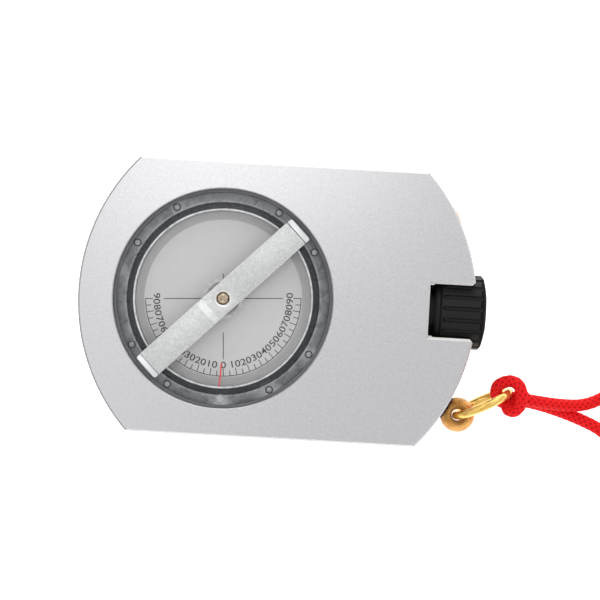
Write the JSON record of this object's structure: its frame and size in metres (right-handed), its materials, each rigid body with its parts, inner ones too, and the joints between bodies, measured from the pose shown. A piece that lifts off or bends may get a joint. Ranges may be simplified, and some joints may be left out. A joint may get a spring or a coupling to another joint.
{
  "type": "inclinometer",
  "caption": "Hand-held sighting inclinometer: flat metal housing with a liquid-damped dial card under a clear window, a ribbed focusing eyepiece and a cord on a ring.",
  "frame": {"origin": "centre of the housing's rounded ends, on its flat back face", "axes": "+Z out of the dial, +X along the housing towards the eyepiece"},
  "size_m": [0.1491, 0.0623, 0.015],
  "materials": {
    "housing_metal": "fine blasted and clear anodised, satin",
    "clear_acrylic": "clear moulded acrylic, polished",
    "seal_rubber": "moulded nitrile rubber, dull",
    "index_red": "red print filled into the window",
    "port_plug": "pale cement plug, slightly streaked",
    "bridge_metal": "rolled strip, satin with bright sheared edges",
    "screw_brass": "small turned screw, warm copper tone",
    "jewel_stone": "polished synthetic ruby",
    "plug_metal": "turned and blasted, pale",
    "stud_brass": "aged brass, brown in the recesses",
    "ring_brass": "polished round wire",
    "plain_brass": "turned brass",
    "dial_paint": "light grey matt paint with dark grey print",
    "scale_film": "white film with black graduation",
    "axle_steel": "hardened and polished",
    "optical_glass": "polished lens glass",
    "black_metal": "matt black against stray light",
    "knob_plastic": "black moulded plastic, slight sheen",
    "cord_braid": "red braided polyester",
    "tie_rubber": "black rubber band"
  },
  "bodies": {
    "housing": {"housing": "housing_metal", "capsule_base": "clear_acrylic", "capsule_cover": "clear_acrylic", "capsule_seal": "seal_rubber", "index_line": "index_red", "fill_plug": "port_plug", "bearing_bridge": "bridge_metal", "pivot_screw": "screw_brass", "front_jewel": "jewel_stone", "rear_jewel": "jewel_stone", "graticule": "optical_glass", "graticule_ring": "black_metal", "eyepiece_bush": "plain_brass", "lanyard_stud": "stud_brass", "blanking_plug": "plug_metal"},
    "card": {"dial_card": "dial_paint", "edge_scale": "scale_film", "card_hub": "plain_brass", "card_axle": "axle_steel", "card_weight": "plain_brass"},
    "lens_slide": {"lens_cell": "black_metal", "eye_lens": "optical_glass", "lens_retainer": "black_metal"},
    "eyepiece": {"eyepiece_knob": "knob_plastic", "eyepiece_o_ring": "seal_rubber"},
    "lanyard": {"lanyard_ring": "ring_brass", "cord_knot": "cord_braid", "cord_upper_lead": "cord_braid", "cord_lower_lead": "cord_braid", "cord_coil": "cord_braid", "cord_tie": "tie_rubber"}
  },
  "joints": [
    {"name": "card_spin", "type": "hinge", "parent": "housing", "child": "card", "pos_m": [-0.0104, 0, 0.0075], "axis": [0, 0, 1], "continuous": true},
    {"name": "focus_travel", "type": "slide", "parent": "housing", "child": "lens_slide", "axis": [1, 0, 0], "range_m": [-0.001, 0.001]},
    {"name": "focus_turn", "type": "hinge", "parent": "lens_slide", "child": "eyepiece", "pos_m": [0, 0, 0.0075], "axis": [1, 0, 0], "range_deg": [-360, 360]},
    {"name": "ring_swing", "type": "hinge", "parent": "housing", "child": "lanyard", "pos_m": [0.03581, -0.01978, 0.0075], "axis": [0, 0, 1], "range_deg": [-140, 30]}
  ],
  "couplings": [
    {"joint": "focus_turn", "follows": "focus_travel", "rad_per_m": 6283.2}
  ]
}
